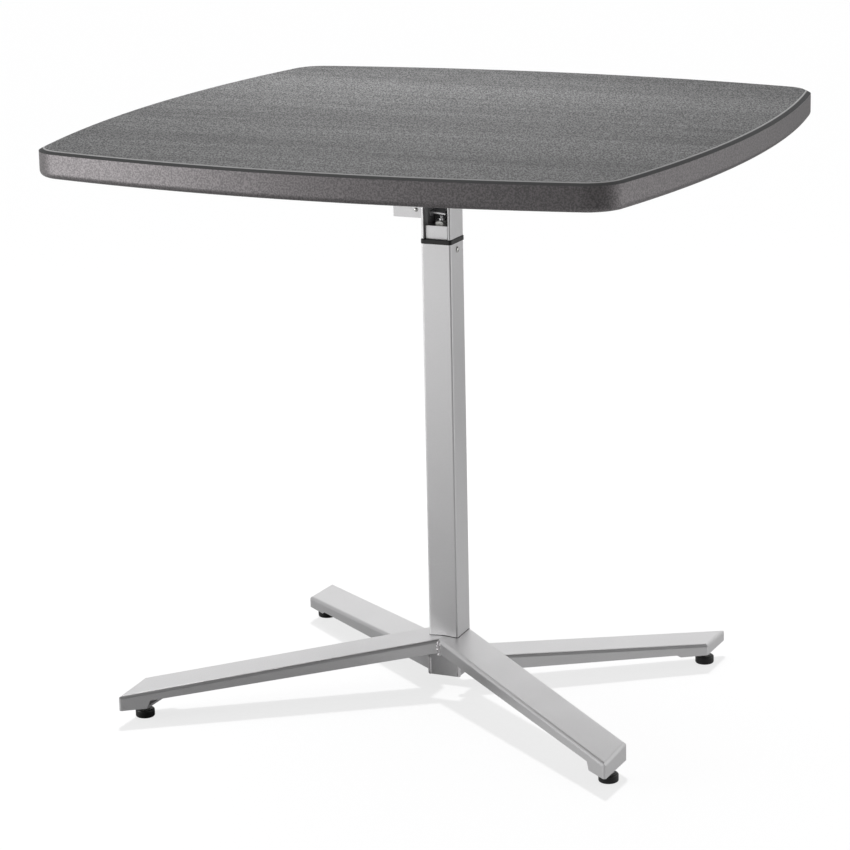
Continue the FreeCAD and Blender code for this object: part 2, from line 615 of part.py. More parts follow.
def make_tilt_clamp_lever():
    x0, x1 = clamp_hub_span()
    hub = rod_x(CLAMP_HUB_RADIUS, x0, x1, 0, PIVOT_Z)
    arm_x0 = (x0 + x1 - CLAMP_ARM_THICKNESS) / 2
    root = CLAMP_ARM_ROOT_HEIGHT / 2
    tip = CLAMP_ARM_TIP_HEIGHT / 2
    arm = prism([Vector(arm_x0, 0, PIVOT_Z - root), Vector(arm_x0, CLAMP_ARM_LENGTH, PIVOT_Z - tip),
                 Vector(arm_x0, CLAMP_ARM_LENGTH, PIVOT_Z + tip), Vector(arm_x0, 0, PIVOT_Z + root)],
                Vector(CLAMP_ARM_THICKNESS, 0, 0))
    arm = arm.fuse(rod_x(tip, arm_x0, arm_x0 + CLAMP_ARM_THICKNESS, CLAMP_ARM_LENGTH, PIVOT_Z))
    bore = rod_x(PIVOT_RADIUS + RUNNING_FIT, x0, x1, 0, PIVOT_Z)
    return hub.fuse(arm).cut(bore).removeSplitter()


# ---- release lever ----
def lever_tongue(x_out, root_half):
    """Level from the lever's root to the cheek, then sloping down over the pin."""
    slope = math.tan(math.radians(TONGUE_SLOPE))
    bend_x = -CHEEK_IN
    level = TONGUE_Z - slope * bend_x
    tip_z = TONGUE_Z - slope * TONGUE_PAST_AXIS
    under = [(x_out, level), (bend_x, level), (TONGUE_PAST_AXIS, tip_z)]
    over = [(x, z + TONGUE_THICKNESS) for x, z in reversed(under)]
    tongue = prism([Vector(x, -TONGUE_HALF_WIDTH, z) for x, z in under + over],
                   Vector(0, 2 * TONGUE_HALF_WIDTH, 0))
    root = box(x_out, -(CHEEK_OUT + TONGUE_ROOT_OUT), -root_half, root_half, level,
               level + TONGUE_THICKNESS)
    return tongue.fuse(root)


def make_release_lever():
    """Folded lever outside the left cheek, with a tongue that reaches over the pin."""
    x_in = -(CHEEK_OUT + LEVER_CHEEK_GAP)
    x_out = -(CHEEK_OUT + LEVER_REACH)
    z0 = LEVER_PIVOT_Z - LEVER_BELOW_PIVOT
    z1 = z0 + LEVER_HEIGHT
    half = LEVER_HALF_WIDTH
    channel = box(x_out, x_in, -half, half, z0, z1)
    corners = [e for e in channel.Edges if e.BoundBox.XLength > 1 and e.BoundBox.ZMin > z1 - 0.01]
    channel = channel.makeFillet(LEVER_SHEET, corners)
    channel = channel.cut(box(x_out + LEVER_SHEET, x_in + 1, -half + LEVER_SHEET,
                              half - LEVER_SHEET, z0 - 1, z1 - LEVER_SHEET))
    lever = channel.fuse(lever_tongue(x_out + 1, half - 1))
    return lever.cut(rod_y(RIVET_RADIUS + RUNNING_FIT, -half - 1, half + 1, LEVER_PIVOT_X,
                           LEVER_PIVOT_Z)).removeSplitter()


def make_lever_lugs():
    """Two lugs on the left cheek that carry the lever's rivet between its flanges."""
    lugs = []
    inner = TONGUE_HALF_WIDTH + SMALL_GAP
    for side in (1, -1):
        y0, y1 = sorted((side * inner, side * (inner + LUG_THICKNESS)))
        lug = box(-(CHEEK_OUT + LUG_REACH), -CHEEK_OUT, y0, y1, LEVER_PIVOT_Z - LUG_BELOW_PIVOT,
                  LEVER_PIVOT_Z + LUG_ABOVE_PIVOT)
        outer = [e for e in lug.Edges if e.BoundBox.YLength > 1
                 and e.BoundBox.XMax < -(CHEEK_OUT + LUG_REACH) + 0.01]
        lug = lug.makeFillet(LUG_BELOW_PIVOT - 1, outer)
        lugs.append(lug.cut(rod_y(RIVET_RADIUS + SEAT_GAP, y0 - 1, y1 + 1, LEVER_PIVOT_X,
                                  LEVER_PIVOT_Z)))
    return Part.makeCompound(lugs)


def make_lever_rivet():
    reach = LEVER_HALF_WIDTH + SMALL_GAP
    rivet = rod_y(RIVET_RADIUS, -reach, reach, LEVER_PIVOT_X, LEVER_PIVOT_Z)
    for y0 in (reach, -reach - RIVET_HEAD_THICKNESS):
        head = rod_y(RIVET_HEAD_RADIUS, y0, y0 + RIVET_HEAD_THICKNESS, LEVER_PIVOT_X, LEVER_PIVOT_Z)
        rivet = rivet.fuse(head)
    return rivet.removeSplitter()


# ---- legs ----
class Leg:
    """One pair of legs: built on the right-hand side, mirrored for the left."""

    def __init__(self, angle, end_x, hub_top, tip_top, hub_depth, tip_depth, y_limits):
        self.angle = angle
        self.end_x = end_x
        self.hub_top = hub_top
        self.hub_depth = hub_depth
        self.tip_depth = tip_depth
        self.y_limits = y_limits
        self.length = end_x / math.cos(math.radians(angle))
        self.slope = (hub_top - tip_top) / self.length

    def top_z(self, along):
        return self.hub_top - self.slope * along

    def underline_z(self, along):
        share = along / self.length
        depth = self.hub_depth + (self.tip_depth - self.hub_depth) * share
        return self.top_z(along) - depth

    def strip(self, half_width, profile):
        """A side profile, given as (along, z) points, spread across and turned into place."""
        points = [Vector(u, -half_width, z) for u, z in profile]
        solid = prism(points, Vector(0, 2 * half_width, 0))
        solid.rotate(Vector(0, 0, 0), Vector(0, 0, 1), self.angle)
        return solid

    def block(self, shrink, bottom_z):
        """The leg's outer form, made smaller by the sheet for its inside."""
        end_x = self.end_x - shrink
        half = LEG_WIDTH / 2 - shrink
        bend = LEG_BEND_RADIUS - shrink
        corner = LEG_CORNER_RADIUS - shrink
        near, far = -LEG_SPAN / 2, self.length * LEG_OVERRUN
        top = [(far, self.top_z(far) - shrink), (near, self.top_z(near) - shrink)]
        floor = [(near, bottom_z), (far, bottom_z)]
        zone = box(0, end_x, -LEG_SPAN, LEG_SPAN, bottom_z, LEG_CLEAR_HEIGHT)

        rail = self.strip(half, floor + top)
        long_bends = [e for e in upper_face(rail).Edges if e.Length > self.length]
        rail = rail.makeFillet(bend, long_bends)

        wide = self.strip(LEG_WIDTH * LEG_OVERWIDTH, floor + top).common(zone)
        end_bend = [e for e in upper_face(wide).Edges if e.BoundBox.XMin > end_x - 0.01]
        wide = wide.makeFillet(bend, end_bend)

        ceiling = [(far, LEG_CLEAR_HEIGHT), (near, LEG_CLEAR_HEIGHT)]
        plan = self.strip(half, floor + ceiling).common(zone)
        corners = [e for e in upright_edges(plan) if e.BoundBox.XMin > end_x - 0.01]
        if corner > 0:
            plan = plan.makeFillet(corner, corners)
        return rail.common(wide).common(plan).removeSplitter()

    def relief(self):
        """What is cut away under the flanges, up to the slanted notch near the end."""
        reach = LEG_SPAN
        low = -LEG_SPAN / 10
        wedge = self.strip(LEG_WIDTH, [(-reach, low), (reach, low), (reach, self.underline_z(reach)),
                                       (-reach, self.underline_z(-reach))])
        notch_x = self.end_x - LEG_NOTCH_LENGTH
        step = self.underline_z(notch_x / math.cos(math.radians(self.angle))) - LEG_END_BOTTOM_Z
        outline = [(-LEG_SPAN, low), (notch_x, low), (notch_x, LEG_END_BOTTOM_Z),
                   (notch_x - LEG_NOTCH_SLANT, LEG_END_BOTTOM_Z + step),
                   (notch_x - LEG_NOTCH_SLANT, LEG_CLEAR_HEIGHT), (-LEG_SPAN, LEG_CLEAR_HEIGHT)]
        window = prism([Vector(x, -LEG_SPAN, z) for x, z in outline], Vector(0, 2 * LEG_SPAN, 0))
        return wedge.common(window)

    def inside(self):
        return self.block(LEG_SHEET, LEG_END_BOTTOM_Z - 10)

    def hub_window(self):
        return box(0, LEG_SPAN, self.y_limits[0], self.y_limits[1], 0, LEG_CLEAR_HEIGHT)

    def make(self):
        leg = self.block(0, LEG_END_BOTTOM_Z).cut(self.relief()).cut(self.inside())
        leg = leg.common(self.hub_window())
        post = square_bar(OUTER_TUBE, OUTER_TUBE_CORNER, 0, LEG_CLEAR_HEIGHT)
        return leg.cut(post).removeSplitter()

    def glide_place(self):
        x = self.end_x - GLIDE_END_INSET
        return x, x * math.tan(math.radians(self.angle))

    def glide_plate(self):
        """Welded plate that closes the end of the channel and carries the glide's nut."""
        x, y = self.glide_place()
        z1 = LEG_END_BOTTOM_Z + GLIDE_PLATE_THICKNESS
        zone = box(x - GLIDE_PLATE_LENGTH / 2, LEG_SPAN, -LEG_SPAN, LEG_SPAN, LEG_END_BOTTOM_Z, z1)
        plate = self.block(LEG_SHEET + SEAT_GAP, LEG_END_BOTTOM_Z).common(zone)
        return plate.cut(rod_z(GLIDE_STUD_RADIUS + LOOSE_HOLE, LEG_END_BOTTOM_Z, z1, x, y))

    def glide_nut(self):
        x, y = self.glide_place()
        z0 = LEG_END_BOTTOM_Z + GLIDE_PLATE_THICKNESS
        z1 = z0 + GLIDE_NUT_HEIGHT
        nut = hexagon_z(GLIDE_NUT_ACROSS_FLATS, z0, z1, x, y)
        return nut.cut(rod_z(GLIDE_STUD_RADIUS + RUNNING_FIT, z0, z1, x, y))

    def glide_pad(self):
        x, y = self.glide_place()
        pad = rod_z(GLIDE_RADIUS, 0, GLIDE_HEIGHT, x, y)
        rims = [e for e in pad.Edges if e.BoundBox.ZLength < 0.01]
        pad = pad.makeFillet(GLIDE_EDGE_ROUND, rims)
        return pad.cut(rod_z(GLIDE_STUD_RADIUS + SEAT_GAP, GLIDE_HEIGHT - GLIDE_STUD_EMBED,
                             GLIDE_HEIGHT, x, y))

    def glide_stud(self):
        x, y = self.glide_place()
        stud = rod_z(GLIDE_STUD_RADIUS, GLIDE_HEIGHT - GLIDE_STUD_EMBED, GLIDE_STUD_TOP_Z, x, y)
        collar = hexagon_z(GLIDE_HEX_ACROSS_FLATS, GLIDE_HEIGHT, GLIDE_HEIGHT + GLIDE_HEX_HEIGHT,
                           x, y)
        return stud.fuse(collar).removeSplitter()

    def apex_y(self):
        """Where the two outer flanges of a pair meet on the middle plane."""
        side = 1 if self.angle > 0 else -1
        return side * LEG_WIDTH / 2 / math.cos(math.radians(self.angle))


def make_leg_pairs():
    front = Leg(-FRONT_LEG_ANGLE, FRONT_LEG_END_X, FRONT_LEG_HUB_TOP_Z, FRONT_LEG_TIP_TOP_Z,
                FRONT_LEG_HUB_DEPTH, FRONT_LEG_TIP_DEPTH, (-LEG_SPAN, OUTER_TUBE / 2 - LEG_HUB_TRIM))
    back = Leg(BACK_LEG_ANGLE, BACK_LEG_END_X, BACK_LEG_HUB_TOP_Z, BACK_LEG_TIP_TOP_Z,
               BACK_LEG_HUB_DEPTH, BACK_LEG_TIP_DEPTH, (LEG_HUB_TRIM - OUTER_TUBE / 2, LEG_SPAN))
    return front, back


def mitre_weld(leg, metal):
    """Bead down the joint between the two outer flanges of a pair."""
    y = leg.apex_y()
    along = abs(y * math.sin(math.radians(leg.angle)))
    top = leg.top_z(along) - LEG_BEND_RADIUS / 2
    bottom = leg.underline_z(along) - 1
    bead = rod_z(MITRE_WELD_RADIUS, bottom, top, 0, y)
    for z in (bottom, top):
        bead = bead.fuse(Part.makeSphere(MITRE_WELD_RADIUS, Vector(0, y, z)))
    return largest(bead.cut(metal))


def largest(shape):
    return max(shape.Solids, key=lambda s: s.Volume)


def corner_weld(leg, side, metal):
    """Upright bead where a back leg's flange end meets the column's front corner."""
    reach = OUTER_TUBE / 2
    turn = math.radians(leg.angle)
    flange_y = (reach * math.sin(turn) - (LEG_WIDTH - LEG_SHEET) / 2) / math.cos(turn)
    y = max(-reach, flange_y)
    bottom = COLUMN_FOOT_Z + 2
    top = leg.top_z(reach) - LEG_BEND_RADIUS
    bead = rod_z(MITRE_WELD_RADIUS, bottom, top, side * reach, y)
    for z in (bottom, top):
        bead = bead.fuse(Part.makeSphere(MITRE_WELD_RADIUS, Vector(side * reach, y, z)))
    return largest(bead.cut(metal))


def plate_weld(leg, start, end, metal):
    """Bead along one face of the column, under a leg's top plate."""
    direction = Vector(math.cos(math.radians(leg.angle)), math.sin(math.radians(leg.angle)), 0)
    ends = [Vector(x, y, leg.top_z(Vector(x, y, 0).dot(direction)) - LEG_SHEET)
            for x, y in (start, end)]
    run = ends[1] - ends[0]
    bead = Part.makeCylinder(FILLET_WELD_RADIUS, run.Length, ends[0], run)
    return largest(bead.cut(metal))


def make_leg_welds(front, back, metal):
    half = OUTER_TUBE / 2
    trim = OUTER_TUBE_CORNER
    front_right = [plate_weld(front, (0, -half), (half - trim, -half), metal),
                   plate_weld(front, (half, -half + trim), (half, half - trim), metal)]
    back_right = [plate_weld(back, (0, half), (half - trim, half), metal)]
    runs = front_right + back_right
    return {
        "front_mitre_weld": mitre_weld(front, metal),
        "back_mitre_weld": mitre_weld(back, metal),
        "flange_corner_welds": Part.makeCompound([corner_weld(back, s, metal) for s in (-1, 1)]),
        "column_ring_welds": Part.makeCompound(runs + [mirrored(r) for r in runs]),
    }


# ---- whole table ----
def make_nodes():
    front, back = make_leg_pairs()
    tube = make_outer_column_tube()
    nodes = {
        "outer_column_tube": tube,
        "upper_guide_bush": make_upper_guide_bush(),
        "bush_retaining_screw": make_bush_screw(),
        "column_foot_plate": make_column_foot_plate(),
        "gas_cylinder": make_gas_cylinder(),
        "cylinder_foot_nut": make_cylinder_foot_nut(),
        "rod_guide": make_rod_guide(),
        "inner_column_tube": make_inner_column_tube(),
        "lower_slide_shoe": make_lower_slide_shoe(),
        "head_end_plate": make_head_end_plate(),
        "head_bracket": make_head_bracket(),
        "gas_rod": make_gas_rod(),
        "gas_piston": make_gas_piston(),
        "rod_lock_nut": make_rod_lock_nut(),
        "release_pin": make_release_pin(),
        "valve_housing": make_valve_housing(),
        "lever_lugs": make_lever_lugs(),
        "lever_rivet": make_lever_rivet(),
        "release_lever": make_release_lever(),
        "pivot_spacer": make_pivot_spacer(),
        "pivot_bolt": make_pivot_bolt(),
        "pivot_washers": make_pivot_washers(),
        "clamp_nut": make_clamp_nut(),
        "tilt_clamp_lever": make_tilt_clamp_lever(),
        "tilt_stop_bumper": make_tilt_stop_bumper(),
        "mounting_plate": make_mounting_plate(),
        "ear_bushes": make_ear_bushes(),
        "plate_screws": make_plate_screws(),
        "screw_inserts": make_screw_inserts(),
        "top_slab": make_top_slab(),
    }
    legs = []
    for row, leg in (("front", front), ("back", back)):
        pieces = {"leg": leg.make(), "glide_plate": leg.glide_plate(), "glide_nut": leg.glide_nut(),
                  "glide_pad": leg.glide_pad(), "glide_stud": leg.glide_stud()}
        for piece, shape in pieces.items():
            nodes[f"{row}_{piece}_right"] = shape
            nodes[f"{row}_{piece}_left"] = mirrored(shape)
        legs += [nodes[f"{row}_leg_right"], nodes[f"{row}_leg_left"]]
    solid_post = square_bar(OUTER_TUBE, OUTER_TUBE_CORNER, COLUMN_FOOT_Z, LEG_CLEAR_HEIGHT)
    nodes.update(make_leg_welds(front, back, Part.makeCompound(legs + [solid_post])))
    return nodes


def main():
    os.makedirs("parts", exist_ok=True)
    for name, shape in make_nodes().items():
        shape.exportStep(f"parts/{name}.step")
        print(f"{name}: {len(shape.Solids)} solid(s), volume {shape.Volume:.0f}, "
              f"valid {shape.isValid()}")


main()
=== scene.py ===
import json
import math

import bmesh
import bpy
from mathutils import Matrix, Vector
from mathutils.bvhtree import BVHTree


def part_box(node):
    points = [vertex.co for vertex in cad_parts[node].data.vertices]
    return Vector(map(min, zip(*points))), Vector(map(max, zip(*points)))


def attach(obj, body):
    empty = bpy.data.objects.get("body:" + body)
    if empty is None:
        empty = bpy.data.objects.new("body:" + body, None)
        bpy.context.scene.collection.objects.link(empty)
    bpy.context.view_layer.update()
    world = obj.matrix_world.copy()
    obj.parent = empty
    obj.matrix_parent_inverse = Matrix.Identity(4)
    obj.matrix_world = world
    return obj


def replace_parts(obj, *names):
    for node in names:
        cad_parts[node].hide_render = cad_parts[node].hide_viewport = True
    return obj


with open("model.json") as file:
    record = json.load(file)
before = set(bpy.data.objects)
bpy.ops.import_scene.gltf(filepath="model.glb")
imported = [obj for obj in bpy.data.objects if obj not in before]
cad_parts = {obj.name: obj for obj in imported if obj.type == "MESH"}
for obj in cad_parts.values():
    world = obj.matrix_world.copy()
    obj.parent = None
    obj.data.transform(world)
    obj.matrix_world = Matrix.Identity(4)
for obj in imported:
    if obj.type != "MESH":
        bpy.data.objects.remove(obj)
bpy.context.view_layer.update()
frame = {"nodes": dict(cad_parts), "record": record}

NODES = frame["nodes"]

# ---- camera: place and far clip in metres, angles in degrees, lens and sensor in mm ----
CAMERA_PLACE = Vector((1.6241, -3.6131, 1.3921))
CAMERA_YAW = 24.597
CAMERA_PITCH = 14.628
CAMERA_ROLL = -1.186
CAMERA_LENS = 133.05
CAMERA_FAR_CLIP = 200.0
SENSOR_WIDTH = 36.0

# ---- colours, linear ----
FILM_DARK = (0.096, 0.096, 0.097, 1.0)
FILM_LIGHT = (0.154, 0.154, 0.155, 1.0)
FILM_FLECK = (0.330, 0.330, 0.330, 1.0)
# The next colour is a painted highlight: a thin light line just under the top's crease.
FILM_CREASE_HIGHLIGHT = (0.500, 0.498, 0.498, 1.0)
# The next colour is painted shade: the bevel round the printed face is coloured darker to stand in
# for its shading.
FILM_BEVEL_SHADE = (0.062, 0.062, 0.063, 1.0)
SHELL = (0.268, 0.251, 0.256, 1.0)
SHELL_DARK = (0.168, 0.160, 0.163, 1.0)
SILVER = (0.80, 0.795, 0.80, 1.0)
SILVER_DARK = (0.71, 0.705, 0.71, 1.0)
BLACK_PAINT = (0.018, 0.018, 0.019, 1.0)
BLACK = (0.012, 0.012, 0.012, 1.0)
# The next colour is the housing's black plastic painted lighter, as painted light in the deep shade
# inside the head.
HOUSING_BLACK_PAINTED_LIGHT = (0.42, 0.42, 0.43, 1.0)
RUBBER = (0.014, 0.014, 0.014, 1.0)
ZINC = (0.62, 0.62, 0.60, 1.0)
CHROME = (0.75, 0.75, 0.76, 1.0)
BRASS = (0.72, 0.52, 0.22, 1.0)
# The next colour is the silver paint made lighter on the weld beads, as a painted highlight.
WELD = (0.98, 0.96, 0.97, 1.0)
WHITE = (1.0, 1.0, 1.0, 1.0)

# ---- textures: scales in cells per metre, sizes and depths in metres, turn in degrees ----
FILM_BAND_SCALE = (0.5, 7, 1)
FILM_STREAK_SCALE = (3, 50, 1)
FILM_FLECK_SCALE = (30, 480, 1)
FILM_FLECK_SHARE = 0.6
FILM_GRAIN_SIZE = (0.0019, 0.0062, 1.0)
FILM_GRAIN_TURN = 24.6
FILM_GRAIN_DEPTH = 0.55
FILM_PORE_DEPTH = 0.00025
SHELL_SPECK_SCALE = 500.0
SHELL_PEBBLE_SCALE = 620.0
SHELL_PEBBLE_DEPTH = 0.0006
POWDER_FLAKE_SCALE = 2600.0
POWDER_CLOUD_SCALE = 14.0
POWDER_BUMP_SCALE = 1500.0
POWDER_BUMP_DEPTH = 0.00006
PLASTIC_CLOUD_SCALE = 220.0
PLASTIC_BUMP_SCALE = 1800.0
PLASTIC_BUMP_DEPTH = 0.0001
BRUSH_LINE_SCALE = (300, 300, 2600)
BRUSH_CLOUD_SCALE = 60.0
BRUSH_BUMP_DEPTH = 0.00005
BRUSH_DARKENING = 0.6
WELD_CLOUD_SCALE = 900.0
WELD_BUMP_SCALE = 700.0
WELD_BUMP_DEPTH = 0.0003

# ---- top, in metres: the printed face ends at the crease, the moulded rim is under the bevel ----
CREASE_Z = 0.762
CREASE_HIGHLIGHT_WIDTH = 0.0012
CREASE_BLUR = 0.00006
BEVEL_DROP = 0.0036
TOP_HALF = 0.416
TOP_BOW_RADIUS = 1.745
TOP_CORNER = 0.050
RIM_ROUND = 0.0075
RIM_SKIN_OFFSET = 0.00002
RIM_SKIN_GUARD = 0.0002
RIM_SKIN_DEPTH = 0.002
RIM_SIDE_STEPS = 60
RIM_CORNER_STEPS = 26
RIM_ROUND_STEPS = 10

# ---- threaded glide studs, in metres ----
STUD_RADIUS = 0.004
STUD_STEPS = 24
STUD_OVERLAP = 0.0004
THREAD_PITCH = 0.00125
THREAD_DEPTH = 0.0006
THREAD_RUNOUT = 0.0006
THREAD_RINGS_PER_PITCH = 8
HEX_RADIUS = 0.00745
HEX_HEIGHT = 0.0035
HEX_CHAMFER = 0.0005

# ---- rivet and screw with domed heads, in metres ----
RIVET_RADIUS = 0.0015
RIVET_HEAD_HEIGHT = 0.0014
RIVET_STEPS = 28
SCREW_RADIUS = 0.0015
SCREW_HEAD_HEIGHT = 0.002
SCREW_STEPS = 32
DOME_STEPS = 10
DOME_STEEPNESS = 0.8
DOME_TIP_SHARE = 0.02

# ---- weld beads, and the black line of painted shade on the joint at the column's foot, in metres ----
BEAD_RADIUS = 0.0029
BEAD_STEPS = 18
BEAD_RING_SPACING = 0.0003
BEAD_RIPPLE = 0.0058
BEAD_RIPPLE_DRIFT = 0.6
BEAD_LEAST_SHARE = 0.50
BEAD_LUMP_SHARE = 0.50
BEAD_UNEVEN_SHARE = 0.08
BEAD_END_LEAST = 0.02
BEAD_END_BLUNTNESS = 8
BEAD_WANDER = 0.0007
BEAD_DRIP = 0.004
# The line at the column's foot is the real joint, drawn black as painted shade.
FOOT_SHADE_RADIUS = 0.0007
FOOT_SHADE_STEPS = 8
FOOT_SHADE_CORNER = 0.003
FOOT_SHADE_CORNER_STEPS = 6
FOOT_SHADE_SIDE_STEPS = 16
FOOT_SHADE_RAY_START = 0.2

# ---- world: each side is an azimuth from the front, with its core and edge, in degrees ----
ROOM_DIFFUSE = 0.40
ROOM_DARK_SIDE = (34.0, 30.0, 62.0)
ROOM_DARK_LEVEL = 0.08
ROOM_LEFT_SIDE = (-108.0, 14.0, 40.0)
ROOM_LEFT_LOW = -0.06
ROOM_LEFT_HIGH = 0.02
ROOM_RIGHT_SIDE = (150.0, 8.0, 32.0)
ROOM_RIGHT_SHARE = 0.6
ROOM_LOW = 0.5
ROOM_HIGH = 0.8
ROOM_DIM_LEVEL = 0.2

# ---- floor: what the metal mirrors of it, by side in degrees and by distance in metres ----
FLOOR_HALF = 40.0
FLOOR_COLOR = (0.9, 0.9, 0.905, 1.0)
FLOOR_COLOR_UNSEEN = (0.27, 0.27, 0.271, 1.0)
FLOOR_WHITE_STRENGTH = 1.02
FLOOR_WHITE_SEEN = 0.75
FLOOR_WHITE_MIRRORED = 0.65
FLOOR_BRIGHT_SIDE = (-75.0, 35.0, 80.0)
FLOOR_BRIGHT_START = (0.5, 2.0)
FLOOR_RIGHT_SIDE = (130.0, 8.0, 42.0)
FLOOR_RIGHT_START = (2.75, 2.95)
FLOOR_RIGHT_SHARE = 1.35
FLOOR_UNDER_SIDE = (90.0, 60.0, 100.0)
FLOOR_UNDER_END = (0.6, 1.6)
FLOOR_UNDER_SHARE = 0.48
FLOOR_CORNER_SIDE = (105.0, 8.0, 30.0)
FLOOR_CORNER_START = (0.8, 1.1)
FLOOR_CORNER_END = (2.5, 2.8)
FLOOR_CORNER_SHARE = 1.4

# ---- lamps: place, target, width and height in metres, power in watts ----
LAMPS = {
    "overhead": ((-0.3, 0.45, 1.55), (-0.1, 0.2, 0.76), 1.0, 1.0, 12.0),
    "left_front": ((-2.2, -1.9, 0.8), (0, 0, 0.5), 1.6, 1.6, 20.0),
    "right": ((2.2, 0.9, 0.4), (0, 0, 0.3), 1.2, 1.0, 2.0),
}

# ---- lamp for the floor's shadow: angles in degrees ----
SHADOW_LAMP_STRENGTH = 2.35
SHADOW_LAMP_SOFTNESS = 5.0
SHADOW_LAMP_TILT = 28.0


# ---- node graphs ----
# The Mix node's sockets go by number: its factor is 0, its numbers are 2 and 3, its colours these.
MIX_COLOR_A = "6"
MIX_COLOR_B = "7"
MIX_COLOR_RESULT = 2


class Graph:
    """A material's or world's node tree, with short calls to add and link nodes."""

    def __init__(self, tree):
        self.tree = tree
        tree.nodes.clear()

    def add(self, kind, settings=None, **inputs):
        node = self.tree.nodes.new("ShaderNode" + kind)
        for key, value in (settings or {}).items():
            setattr(node, key, value)
        for key, value in inputs.items():
            self.put(node, key.replace("_", " "), value)
        return node

    def put(self, node, key, value):
        socket = node.inputs[int(key)] if key.isdigit() else node.inputs[key]
        if isinstance(value, bpy.types.NodeSocket):
            self.tree.links.new(value, socket)
        else:
            socket.default_value = value

    def math(self, operation, a, b):
        node = self.add("Math", {"operation": operation})
        self.put(node, "0", a)
        self.put(node, "1", b)
        return node.outputs[0]

    def mix(self, factor, a, b, blend="MIX"):
        node = self.add("Mix", {"data_type": "RGBA", "blend_type": blend})
        self.put(node, "0", factor)
        self.put(node, MIX_COLOR_A, a)
        self.put(node, MIX_COLOR_B, b)
        return node.outputs[MIX_COLOR_RESULT]

    def ramp(self, factor, low, high):
        """0 below low and 1 above high, smooth between."""
        node = self.add("MapRange", {"interpolation_type": "SMOOTHSTEP"}, Value=factor)
        node.inputs["From Min"].default_value = low
        node.inputs["From Max"].default_value = high
        return node.outputs[0]

    def spread(self, factor, low, high):
        """A number that goes from low to high as factor goes from 0 to 1."""
        node = self.add("MapRange", Value=factor)
        node.inputs["To Min"].default_value = low
        node.inputs["To Max"].default_value = high
        return node.outputs[0]

    def place(self, scale=(1, 1, 1)):
        """The object's own coordinates, in metres, scaled."""
        coords = self.add("TexCoord").outputs["Object"]
        return self.add("Mapping", Vector=coords, Scale=scale).outputs[0]

    def turned_place(self, size, turn):
        """The object's own coordinates, turned about z by degrees and then divided by size."""
        coords = self.add("TexCoord").outputs["Object"]
        node = self.add("Mapping", {"vector_type": "TEXTURE"}, Vector=coords, Scale=size,
                        Rotation=(0, 0, math.radians(turn)))
        return node.outputs[0]

    def noise(self, vector, scale, detail=2.0, rough=0.5):
        node = self.add("TexNoise", Vector=vector, Scale=scale, Detail=detail, Roughness=rough)
        return node.outputs["Fac"]

    def bump(self, height, distance, strength=1.0, normal=None):
        node = self.add("Bump", Height=height, Distance=distance, Strength=strength)
        if normal is not None:
            self.put(node, "Normal", normal)
        return node.outputs[0]


def material(name, color, roughness, metallic=0.0, **sockets):
    """A new material with a Principled shader: the material, its graph and the shader."""
    made = bpy.data.materials.new(name)
    made.use_nodes = True
    graph = Graph(made.node_tree)
    shader = graph.add("BsdfPrincipled", Metallic=metallic)
    graph.put(shader, "Base Color", color)
    graph.put(shader, "Roughness", roughness)
    for key, value in sockets.items():
        graph.put(shader, key.replace("_", " "), value)
    output = graph.add("OutputMaterial")
    graph.put(output, "Surface", shader.outputs[0])
    made.diffuse_color = color
    return made, graph, shader


